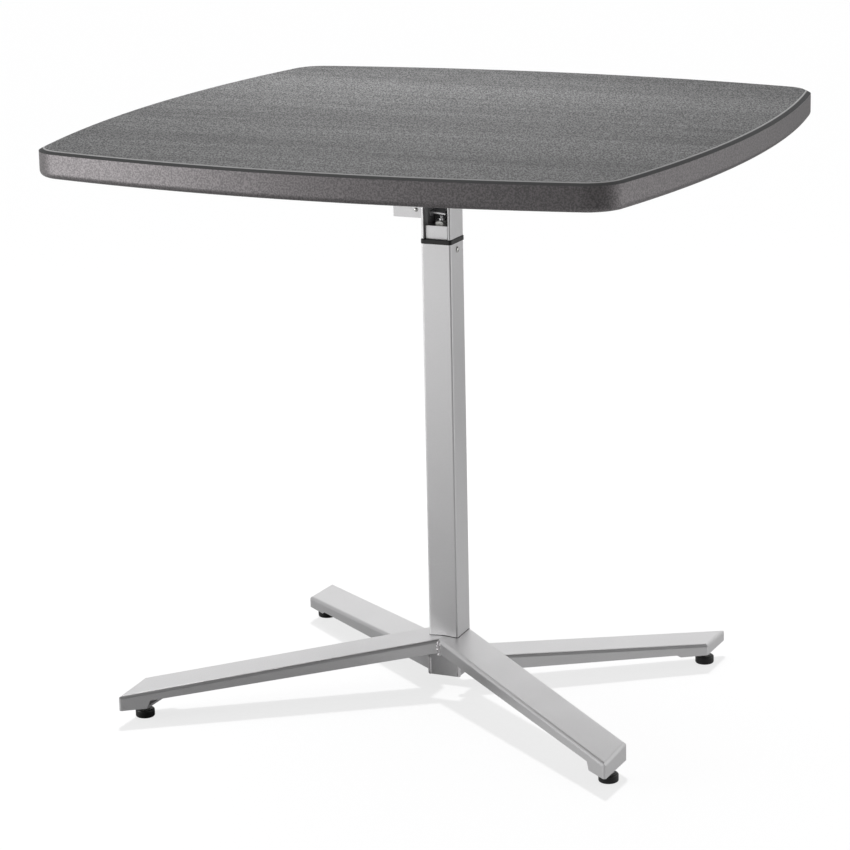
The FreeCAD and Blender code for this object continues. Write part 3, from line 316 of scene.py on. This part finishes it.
def make_top_material():
    """Printed dark grain on the face, a bevel round it painted darker as shade, a painted highlight
    line just under the crease, and pebbled plastic below.
    """
    made, g, shader = material("top_film_and_shell", FILM_LIGHT, 0.5, Specular_IOR_Level=0.25)
    height = g.add("SeparateXYZ", Vector=g.place()).outputs[2]

    bands = g.noise(g.place(FILM_BAND_SCALE), 1.0, 2.0, 0.5)
    streaks = g.noise(g.place(FILM_STREAK_SCALE), 1.0, 5.0, 0.65)
    fine = g.noise(g.turned_place(FILM_GRAIN_SIZE, FILM_GRAIN_TURN), 1.0, 1.0, 0.5)
    tone = g.math("ADD", g.math("MULTIPLY", bands, 0.5), g.math("MULTIPLY", streaks, 0.5))
    grain = g.mix(g.ramp(tone, 0.35, 0.65), FILM_DARK, FILM_LIGHT)
    salt = g.spread(g.ramp(fine, 0.30, 0.70), 1.0 - FILM_GRAIN_DEPTH, 1.0 + FILM_GRAIN_DEPTH)
    salt_color = g.add("CombineXYZ", X=salt, Y=salt, Z=salt).outputs[0]
    grain = g.mix(1.0, grain, salt_color, "MULTIPLY")
    flecks = g.ramp(g.noise(g.place(FILM_FLECK_SCALE), 1.0, 2.0, 0.6), 0.70, 0.80)
    grain = g.mix(g.math("MULTIPLY", flecks, FILM_FLECK_SHARE), grain, FILM_FLECK)

    speck = g.noise(g.place(), SHELL_SPECK_SCALE, 1.0, 0.5)
    shell = g.mix(g.ramp(speck, 0.34, 0.66), SHELL_DARK, SHELL)

    shoulder = CREASE_Z - BEVEL_DROP
    on_face = g.ramp(height, CREASE_Z - CREASE_BLUR, CREASE_Z - CREASE_BLUR / 4)
    # This mask carries a painted highlight: a thin light line just under the crease.
    on_crease_highlight = g.ramp(height, CREASE_Z - CREASE_HIGHLIGHT_WIDTH, CREASE_Z - CREASE_HIGHLIGHT_WIDTH / 2)
    on_bevel = g.ramp(height, shoulder - CREASE_BLUR, shoulder + CREASE_BLUR)
    # Painted shade on the bevel, with the painted crease highlight along its top edge.
    bevel_shade_and_highlight = g.mix(on_crease_highlight, FILM_BEVEL_SHADE, FILM_CREASE_HIGHLIGHT)
    g.put(shader, "Base Color", g.mix(on_bevel, shell, g.mix(on_face, bevel_shade_and_highlight, grain)))
    g.put(shader, "Roughness", g.spread(on_bevel, 0.42, 0.8))
    g.put(shader, "Metallic", g.spread(on_bevel, 0.8, 0.0))

    pebble = g.add("TexVoronoi", {"feature": "SMOOTH_F1"}, Vector=g.place(),
                   Scale=SHELL_PEBBLE_SCALE).outputs["Distance"]
    pebble = g.math("MULTIPLY", pebble, g.math("SUBTRACT", 1.0, on_bevel))
    pores = g.math("MULTIPLY", fine, on_face)
    normal = g.bump(pebble, SHELL_PEBBLE_DEPTH, 0.12)
    g.put(shader, "Normal", g.bump(pores, FILM_PORE_DEPTH, 0.3, normal))
    return made


def make_silver_material():
    """Satin silver powder coat with fine flake."""
    made, g, shader = material("silver_powder_coat", SILVER, 0.42, 0.95)
    flake = g.noise(g.place(), POWDER_FLAKE_SCALE, 2.0, 0.7)
    cloud = g.noise(g.place(), POWDER_CLOUD_SCALE, 3.0, 0.5)
    tone = g.mix(g.ramp(flake, 0.3, 0.7), SILVER_DARK, SILVER)
    tone = g.mix(g.math("MULTIPLY", cloud, 0.12), tone, SILVER_DARK)
    orange_peel = g.noise(g.place(), POWDER_BUMP_SCALE)
    g.put(shader, "Base Color", tone)
    g.put(shader, "Roughness", g.spread(cloud, 0.36, 0.48))
    g.put(shader, "Normal", g.bump(orange_peel, POWDER_BUMP_DEPTH, 0.5))
    return made


def make_plain_plastic(name, color, rough):
    """One colour with uneven gloss and a very fine grain; also for paint and rubber."""
    made, g, shader = material(name, color, rough)
    cloud = g.noise(g.place(), PLASTIC_CLOUD_SCALE, 3.0)
    grain = g.noise(g.place(), PLASTIC_BUMP_SCALE)
    g.put(shader, "Roughness", g.spread(cloud, rough - 0.08, rough + 0.1))
    g.put(shader, "Normal", g.bump(grain, PLASTIC_BUMP_DEPTH, 0.5))
    return made


def make_brushed_metal(name, color, rough):
    """Bare or plated metal with fine lines across z and cloudy gloss."""
    made, g, shader = material(name, color, rough, 1.0)
    lines = g.noise(g.place(BRUSH_LINE_SCALE), 1.0, 3.0)
    cloud = g.noise(g.place(), BRUSH_CLOUD_SCALE, 3.0)
    darker = tuple(c * BRUSH_DARKENING for c in color[:3]) + (1.0,)
    g.put(shader, "Base Color", g.mix(g.math("MULTIPLY", cloud, 0.35), color, darker))
    g.put(shader, "Roughness", g.spread(cloud, rough - 0.07, rough + 0.12))
    g.put(shader, "Normal", g.bump(lines, BRUSH_BUMP_DEPTH, 0.4))
    return made


def make_weld_metal():
    """The weld bead's silver paint in a lighter colour, as a painted highlight, with uneven gloss.
    """
    made, g, shader = material("weld_painted_highlight", WELD, 0.3, 0.85)
    cloud = g.noise(g.place(), WELD_CLOUD_SCALE)
    lumps = g.noise(g.place(), WELD_BUMP_SCALE)
    g.put(shader, "Roughness", g.spread(cloud, 0.22, 0.38))
    g.put(shader, "Normal", g.bump(lumps, WELD_BUMP_DEPTH, 0.6))
    return made


def paint_nodes():
    """Every CAD node gets its node-based material, by its material slot in the record."""
    looks = {
        "top_plastic": make_top_material(),
        "silver_paint": make_silver_material(),
        "dark_paint": make_plain_plastic("black_powder_coat", BLACK_PAINT, 0.4),
        "black_plastic": make_plain_plastic("black_moulded_plastic", BLACK, 0.38),
        "zinc_plate": make_brushed_metal("zinc_plated_steel", ZINC, 0.32),
        "bright_steel": make_brushed_metal("chromed_steel", CHROME, 0.12),
        "brass_insert": make_brushed_metal("brass", BRASS, 0.3),
        "black_rubber": make_plain_plastic("black_rubber", RUBBER, 0.6),
        "weld_metal": make_weld_metal(),
        "housing": make_plain_plastic("housing_black_painted_lighter", HOUSING_BLACK_PAINTED_LIGHT, 0.45),
        "polished": make_brushed_metal("polished_zinc", ZINC, 0.14),
    }
    for part in frame["record"]["subparts"]:
        data = NODES[part["node"]].data
        data.materials.clear()
        data.materials.append(looks[part["material_slot"]])
    # The valve housing gets its black plastic painted lighter, as painted light in the shade inside
    # the head.
    NODES["valve_housing"].data.materials[0] = looks["housing"]
    return looks


# ---- pieces ----
def new_piece(name, mesh, look, body, smooth=True):
    """An object made of a mesh, which rides on a body and has the given material."""
    for face in mesh.faces:
        face.smooth = smooth
    data = bpy.data.meshes.new(name)
    mesh.to_mesh(data)
    mesh.free()
    data.materials.append(look)
    piece = bpy.data.objects.new(name, data)
    bpy.context.scene.collection.objects.link(piece)
    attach(piece, body)
    return piece


def capped_tube(mesh, rings):
    """Skins a list of rings of points into a tube with both ends capped."""
    loops = [[mesh.verts.new(point) for point in ring] for ring in rings]
    count = len(loops[0])
    for lower, upper in zip(loops, loops[1:]):
        for i in range(count):
            j = (i + 1) % count
            mesh.faces.new((lower[i], lower[j], upper[j], upper[i]))
    mesh.faces.new(reversed(loops[0]))
    mesh.faces.new(loops[-1])


def endless_tube(mesh, rings):
    """Skins a list of rings of points into a tube whose last ring meets its first."""
    loops = [[mesh.verts.new(point) for point in ring] for ring in rings]
    count = len(loops[0])
    for loop, following in zip(loops, loops[1:] + loops[:1]):
        for i in range(count):
            j = (i + 1) % count
            mesh.faces.new((loop[i], following[i], following[j], loop[j]))
    bmesh.ops.recalc_face_normals(mesh, faces=mesh.faces)


def make_glide_stud(row, side, look):
    """Threaded stud with a hexagon collar, in place of the plain CAD one."""
    node = f"{row}_glide_stud_{side}"
    low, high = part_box(node)
    centre = (low + high) / 2
    pad_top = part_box(f"{row}_glide_pad_{side}")[1].z
    hex_top = pad_top + HEX_HEIGHT
    mesh = bmesh.new()
    hexagon = []
    for z, radius in ((pad_top, HEX_RADIUS - HEX_CHAMFER), (pad_top + HEX_CHAMFER, HEX_RADIUS),
                      (hex_top - HEX_CHAMFER, HEX_RADIUS), (hex_top, HEX_RADIUS - HEX_CHAMFER)):
        hexagon.append([(centre.x + radius * math.cos(math.radians(60 * i)),
                         centre.y + radius * math.sin(math.radians(60 * i)), z)
                        for i in range(6)])
    capped_tube(mesh, hexagon)

    start = hex_top - STUD_OVERLAP
    count = int((high.z - THREAD_RUNOUT - start) / THREAD_PITCH * THREAD_RINGS_PER_PITCH)
    rings = []
    for k in range(count + 1):
        z = start + (high.z - start) * k / count
        runout = 1 - min(1.0, (high.z - z) / THREAD_RUNOUT)
        ring = []
        for i in range(STUD_STEPS):
            phase = (z / THREAD_PITCH - i / STUD_STEPS) % 1.0
            cut = THREAD_DEPTH * max(1 - abs(2 * phase - 1), runout)
            angle = 2 * math.pi * i / STUD_STEPS
            ring.append((centre.x + (STUD_RADIUS - cut) * math.cos(angle),
                         centre.y + (STUD_RADIUS - cut) * math.sin(angle), z))
        rings.append(ring)
    capped_tube(mesh, rings)
    piece = new_piece(f"threaded_stud_{row}_{side}", mesh, look, f"glide_{row}_{side}",
                      smooth=False)
    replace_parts(piece, node)


def ring_about(centre, axis, radius, count):
    """Points of a circle round an axis."""
    side = axis.orthogonal().normalized()
    across = axis.cross(side)
    turns = (2 * math.pi * i / count for i in range(count))
    return [centre + (side * math.cos(a) + across * math.sin(a)) * radius for a in turns]


def dome_profile(radius, height):
    """(height, radius) pairs from the rim of a steep-sided dome up to its middle."""
    angles = (math.pi / 2 * i / DOME_STEPS for i in range(DOME_STEPS + 1))
    return [(height * math.sin(a) ** DOME_STEEPNESS,
             radius * max(math.cos(a), DOME_TIP_SHARE)) for a in angles]


def make_lever_rivet(look):
    """Rivet with a polished domed head on each side of the lever."""
    low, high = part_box("lever_rivet")
    middle = (low + high) / 2
    head_radius = (high.z - low.z) / 2
    shaft_end = high.y - middle.y - RIVET_HEAD_HEIGHT
    along = [(shaft_end + h, r) for h, r in dome_profile(head_radius, RIVET_HEAD_HEIGHT)]
    half = [(shaft_end, RIVET_RADIUS)] + along
    profile = [(-y, r) for y, r in reversed(half)] + half
    mesh = bmesh.new()
    axis = Vector((0, 1, 0))
    capped_tube(mesh, [ring_about(middle + axis * y, axis, r, RIVET_STEPS) for y, r in profile])
    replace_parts(new_piece("domed_rivet", mesh, look, "mast"), "lever_rivet")


def make_bush_screw(look):
    """Retaining screw with a polished domed head standing on the tube's right face."""
    low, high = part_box("bush_retaining_screw")
    middle = (low + high) / 2
    head_radius = (high.z - low.z) / 2
    head_start = high.x - SCREW_HEAD_HEIGHT
    profile = [(low.x, SCREW_RADIUS), (head_start, SCREW_RADIUS)]
    profile += [(head_start + h, r) for h, r in dome_profile(head_radius, SCREW_HEAD_HEIGHT)]
    mesh = bmesh.new()
    axis = Vector((1, 0, 0))
    capped_tube(mesh, [ring_about(Vector((x, middle.y, middle.z)), axis, r, SCREW_STEPS)
                       for x, r in profile])
    piece = new_piece("domed_screw", mesh, look, "base")
    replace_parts(piece, "bush_retaining_screw")


def make_bead(name, start, end, look, node):
    """A lumpy weld bead between two points, in place of the plain CAD one."""
    mesh = bmesh.new()
    run = end - start
    count = int(run.length / BEAD_RING_SPACING)
    along = run.normalized()
    side = Vector((1, 0, 0))
    rings = []
    for k in range(count + 1):
        share = k / count
        distance = run.length * share
        ends = math.sqrt(max(BEAD_END_LEAST, 1 - (2 * share - 1) ** BEAD_END_BLUNTNESS))
        drift = BEAD_RIPPLE_DRIFT * math.sin(share * 9.0)
        lump = abs(math.sin(math.pi * distance / BEAD_RIPPLE + drift))
        uneven = BEAD_UNEVEN_SHARE * math.sin(share * 31.0)
        swell = BEAD_RADIUS * ends * (BEAD_LEAST_SHARE + BEAD_LUMP_SHARE * lump + uneven)
        centre = start + run * share + side * BEAD_WANDER * math.sin(share * 7.5)
        rings.append(ring_about(centre, along, swell, BEAD_STEPS))
    capped_tube(mesh, rings)
    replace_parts(new_piece(name, mesh, look, "base"), node)


def make_weld_beads(look):
    """The upright beads where the two legs of each pair meet."""
    for node in ("front_mitre_weld", "back_mitre_weld"):
        low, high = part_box(node)
        middle = (low + high) / 2
        start = Vector((middle.x, middle.y, low.z - BEAD_DRIP + BEAD_RADIUS))
        end = Vector((middle.x, middle.y, high.z - BEAD_RADIUS / 2))
        make_bead(node.replace("weld", "bead"), start, end, look, node)


def rim_outline():
    """Places round the top's outline, each with its outward direction, in metres."""
    centre = TOP_BOW_RADIUS - TOP_HALF
    reach = TOP_BOW_RADIUS - TOP_CORNER
    corner = (math.sqrt(2 * reach * reach - centre * centre) - centre) / 2
    swing = math.atan2(corner, corner + centre)
    corner_swing = math.pi / 2 - 2 * swing
    arcs = []
    for k in range(RIM_SIDE_STEPS):
        arcs.append((Vector((0, centre)), TOP_BOW_RADIUS, swing * (2 * k / RIM_SIDE_STEPS - 1)))
    for k in range(RIM_CORNER_STEPS):
        arcs.append((Vector((corner, -corner)), TOP_CORNER,
                     swing + corner_swing * k / RIM_CORNER_STEPS))
    points = []
    for side in range(4):
        turn = Matrix.Rotation(math.pi / 2 * side, 2)
        for middle, radius, angle in arcs:
            out = Vector((math.sin(angle), -math.cos(angle)))
            points.append((turn @ (middle + out * radius), turn @ out))
    return points


def make_rim_skin(look):
    """An even outer skin for the moulded rim, from under the bevel round to the underside."""
    low_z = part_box("top_slab")[0].z
    top_z = CREASE_Z - BEVEL_DROP - RIM_SKIN_OFFSET
    round_z = low_z + RIM_ROUND
    radius = RIM_ROUND + RIM_SKIN_OFFSET
    under = low_z - RIM_SKIN_OFFSET
    inner = RIM_ROUND + RIM_SKIN_DEPTH
    profile = [(RIM_SKIN_DEPTH, top_z), (-RIM_SKIN_OFFSET, top_z),
               (-RIM_SKIN_OFFSET, top_z - RIM_SKIN_GUARD),
               (-RIM_SKIN_OFFSET, round_z + RIM_SKIN_GUARD)]
    for k in range(RIM_ROUND_STEPS + 1):
        angle = math.pi / 2 * k / RIM_ROUND_STEPS
        profile.append((RIM_ROUND - radius * math.cos(angle), round_z - radius * math.sin(angle)))
    profile += [(inner - RIM_SKIN_GUARD, under), (inner, under), (inner, under + RIM_SKIN_DEPTH)]
    rings = []
    for place, out in rim_outline():
        ring = []
        for inward, z in profile:
            x, y = (max(-TOP_HALF, min(TOP_HALF, v)) for v in place - out * inward)
            ring.append((x, y, z))
        rings.append(ring)
    mesh = bmesh.new()
    endless_tube(mesh, rings)
    new_piece("rim_skin", mesh, look, "top")


def surface_height(trees, x, y):
    """The highest point of the given surfaces straight below a place near the column's foot."""
    start = Vector((x, y, FOOT_SHADE_RAY_START))
    hits = (tree.ray_cast(start, Vector((0, 0, -1)))[0] for tree in trees)
    return max(hit.z for hit in hits if hit is not None)


def foot_outline(half):
    """Places round a square of rounded corners, each with its outward direction."""
    corners = ((half, half), (-half, half), (-half, -half), (half, -half))
    path = []
    for index, (cx, cy) in enumerate(corners):
        inner = Vector((cx - math.copysign(FOOT_SHADE_CORNER, cx), cy - math.copysign(FOOT_SHADE_CORNER, cy)))
        for step in range(FOOT_SHADE_CORNER_STEPS + 1):
            turn = math.radians(90 * (index + step / FOOT_SHADE_CORNER_STEPS))
            out = Vector((math.cos(turn), math.sin(turn)))
            path.append((inner + out * FOOT_SHADE_CORNER, out))
        nx, ny = corners[(index + 1) % 4]
        run = Vector((nx - cx, ny - cy))
        run = run * (1 - 2 * FOOT_SHADE_CORNER / run.length)
        start, out = path[-1]
        path += [(start + run * (k / FOOT_SHADE_SIDE_STEPS), out) for k in range(1, FOOT_SHADE_SIDE_STEPS)]
    return path


def make_foot_shade_line(look):
    """A thin black line, painted shade on the joint, that follows the tops of the legs all round
    the foot of the column.
    """
    low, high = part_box("outer_column_tube")
    middle = (low + high) / 2
    graph = bpy.context.evaluated_depsgraph_get()
    trees = [BVHTree.FromObject(NODES[f"{row}_leg_{side}"], graph)
             for row in ("front", "back") for side in ("left", "right")]
    rings = []
    for flat, out in foot_outline((high.x - low.x) / 2):
        x, y = middle.x + flat.x, middle.y + flat.y
        z = surface_height(trees, x + out.x * FOOT_SHADE_RADIUS, y + out.y * FOOT_SHADE_RADIUS)
        ring = []
        for i in range(FOOT_SHADE_STEPS):
            turn = 2 * math.pi * i / FOOT_SHADE_STEPS
            reach = out * FOOT_SHADE_RADIUS * math.cos(turn)
            ring.append((x + reach.x, y + reach.y, z + FOOT_SHADE_RADIUS * math.sin(turn)))
        rings.append(ring)
    mesh = bmesh.new()
    endless_tube(mesh, rings)
    new_piece("column_foot_painted_shade", mesh, look, "base")


# ---- stage ----
def side_of_room(g, direction, length, azimuth, core, edge):
    """1 within the core angle of an azimuth, counted from the front, and 0 past the edge."""
    turn = math.radians(azimuth)
    toward = g.add("VectorMath", {"operation": "DOT_PRODUCT"})
    g.put(toward, "0", direction)
    g.put(toward, "1", (math.sin(turn), -math.cos(turn), 0.0))
    cosine = g.math("DIVIDE", toward.outputs["Value"], length)
    return g.ramp(cosine, math.cos(math.radians(edge)), math.cos(math.radians(core)))


def floor_glow(g, place):
    """How much of the white floor the metal mirrors, from 0 to 1, by side and distance."""
    length = g.add("VectorMath", {"operation": "LENGTH"})
    g.put(length, "0", place)
    length = length.outputs["Value"]

    bright = g.ramp(length, *FLOOR_BRIGHT_START)
    right = g.math("MULTIPLY", g.ramp(length, *FLOOR_RIGHT_START), FLOOR_RIGHT_SHARE)
    under = g.math("SUBTRACT", 1.0, g.ramp(length, *FLOOR_UNDER_END))
    under = g.math("MULTIPLY", under, FLOOR_UNDER_SHARE)
    corner_start = g.ramp(length, *FLOOR_CORNER_START)
    corner_end = g.ramp(length, *FLOOR_CORNER_END)
    corner = g.math("MULTIPLY", g.math("SUBTRACT", corner_start, corner_end), FLOOR_CORNER_SHARE)

    glow = g.math("MULTIPLY", bright, side_of_room(g, place, length, *FLOOR_BRIGHT_SIDE))
    for share, side in ((right, FLOOR_RIGHT_SIDE), (under, FLOOR_UNDER_SIDE),
                        (corner, FLOOR_CORNER_SIDE)):
        lit = g.math("MULTIPLY", share, side_of_room(g, place, length, *side))
        glow = g.math("MAXIMUM", glow, lit)
    return glow


def make_floor_material():
    """Pale floor: white to the camera, duller to diffuse light, and a bright room to metal."""
    made = bpy.data.materials.new("pale_floor")
    made.use_nodes = True
    g = Graph(made.node_tree)
    rays = g.add("LightPath")
    seen = rays.outputs["Is Camera Ray"]
    lit = g.add("BsdfDiffuse", Color=g.mix(seen, FLOOR_COLOR_UNSEEN, FLOOR_COLOR)).outputs[0]
    white = g.add("Emission", Color=WHITE, Strength=FLOOR_WHITE_STRENGTH).outputs[0]
    mirrored = g.math("MAXIMUM", rays.outputs["Is Glossy Ray"], rays.outputs["Is Transmission Ray"])
    mirrored = g.math("MULTIPLY", mirrored, floor_glow(g, g.place()))
    mirrored = g.math("MULTIPLY", mirrored, FLOOR_WHITE_MIRRORED)
    share = g.math("ADD", g.math("MULTIPLY", seen, FLOOR_WHITE_SEEN), mirrored)
    mixed = g.add("MixShader")
    g.put(mixed, "0", share)
    g.put(mixed, "1", lit)
    g.put(mixed, "2", white)
    g.put(g.add("OutputMaterial"), "Surface", mixed.outputs[0])
    return made


def make_floor():
    """A plain floor that reaches past every view."""
    half = FLOOR_HALF
    data = bpy.data.meshes.new("floor")
    data.from_pydata([(-half, -half, 0), (half, -half, 0), (half, half, 0), (-half, half, 0)], [],
                     [(0, 1, 2, 3)])
    data.materials.append(make_floor_material())
    floor = bpy.data.objects.new("floor", data)
    bpy.context.scene.collection.objects.link(floor)
    return floor


def make_world():
    """White to the camera; to the metal a white room, darker on three sides and overhead."""
    world = bpy.data.worlds.new("studio")
    bpy.context.scene.world = world
    world.use_nodes = True
    g = Graph(world.node_tree)
    direction = g.add("TexCoord").outputs["Generated"]
    height = g.add("SeparateXYZ", Vector=direction).outputs[2]
    rays = g.add("LightPath")
    mirrored = g.math("MAXIMUM", rays.outputs["Is Glossy Ray"], rays.outputs["Is Transmission Ray"])

    dark = side_of_room(g, direction, 1.0, *ROOM_DARK_SIDE)
    left = side_of_room(g, direction, 1.0, *ROOM_LEFT_SIDE)
    left = g.math("MULTIPLY", left, g.ramp(height, ROOM_LEFT_LOW, ROOM_LEFT_HIGH))
    right = side_of_room(g, direction, 1.0, *ROOM_RIGHT_SIDE)
    sides = g.math("MAXIMUM", left, g.math("MULTIPLY", right, ROOM_RIGHT_SHARE))
    dim = g.math("MAXIMUM", g.ramp(height, ROOM_LOW, ROOM_HIGH), sides)
    dim = g.math("MULTIPLY", dim, mirrored)

    room = g.math("MULTIPLY", g.spread(mirrored, ROOM_DIFFUSE, 1.0),
                  g.spread(dark, 1.0, ROOM_DARK_LEVEL))
    room = g.math("MULTIPLY", room, g.spread(dim, 1.0, ROOM_DIM_LEVEL))
    strength = g.add("Mix", {"data_type": "FLOAT"})
    g.put(strength, "0", rays.outputs["Is Camera Ray"])
    g.put(strength, "2", room)
    g.put(strength, "3", 1.0)
    back = g.add("Background", Color=WHITE)
    g.put(back, "Strength", strength.outputs[0])
    g.put(g.add("OutputWorld"), "Surface", back.outputs[0])


def make_lamp(name, place, target, width, height, power):
    """A soft rectangular lamp turned towards its target."""
    data = bpy.data.lights.new(name, "AREA")
    data.shape = "RECTANGLE"
    data.size = width
    data.size_y = height
    data.energy = power
    lamp = bpy.data.objects.new(name, data)
    lamp.location = place
    lamp.rotation_euler = (Vector(target) - Vector(place)).to_track_quat("-Z", "Y").to_euler()
    bpy.context.scene.collection.objects.link(lamp)


def make_floor_shadow_lamp(floor):
    """A sun from beyond the table that only the floor receives and only the base shades."""
    data = bpy.data.lights.new("floor_shadow", "SUN")
    data.energy = SHADOW_LAMP_STRENGTH
    data.angle = math.radians(SHADOW_LAMP_SOFTNESS)
    lamp = bpy.data.objects.new("floor_shadow", data)
    lamp.rotation_euler = (math.radians(SHADOW_LAMP_TILT), 0, math.radians(180 + CAMERA_YAW))
    bpy.context.scene.collection.objects.link(lamp)
    receivers = bpy.data.collections.new("floor_only")
    receivers.objects.link(floor)
    blockers = bpy.data.collections.new("base_only")
    for node, piece in NODES.items():
        if node.startswith(("front_leg", "back_leg", "front_glide", "back_glide")):
            blockers.objects.link(piece)
    lamp.light_linking.receiver_collection = receivers
    lamp.light_linking.blocker_collection = blockers


def make_camera():
    """The camera at the photo's angle."""
    data = bpy.data.cameras.new("camera")
    data.sensor_width = SENSOR_WIDTH
    data.lens = CAMERA_LENS
    data.clip_end = CAMERA_FAR_CLIP
    camera = bpy.data.objects.new("camera", data)
    yaw, pitch, roll = (math.radians(a) for a in (CAMERA_YAW, CAMERA_PITCH, CAMERA_ROLL))
    look = Vector((-math.sin(yaw) * math.cos(pitch), math.cos(yaw) * math.cos(pitch),
                   -math.sin(pitch)))
    right = look.cross(Vector((0, 0, 1))).normalized()
    up = right.cross(look)
    turned_right = right * math.cos(roll) + up * math.sin(roll)
    turned_up = up * math.cos(roll) - right * math.sin(roll)
    basis = Matrix((turned_right, turned_up, -look)).transposed().to_4x4()
    camera.matrix_world = Matrix.Translation(CAMERA_PLACE) @ basis
    bpy.context.scene.collection.objects.link(camera)
    bpy.context.scene.camera = camera


def main():
    bpy.context.scene.view_settings.view_transform = "Standard"
    make_camera()
    looks = paint_nodes()
    for row in ("front", "back"):
        for side in ("left", "right"):
            make_glide_stud(row, side, looks["zinc_plate"])
    make_weld_beads(looks["weld_metal"])
    make_foot_shade_line(looks["dark_paint"])
    make_rim_skin(looks["top_plastic"])
    make_lever_rivet(looks["polished"])
    make_bush_screw(looks["polished"])
    floor = make_floor()
    make_world()
    for name, (place, target, width, height, power) in LAMPS.items():
        make_lamp(name, place, target, width, height, power)
    make_floor_shadow_lamp(floor)


main()
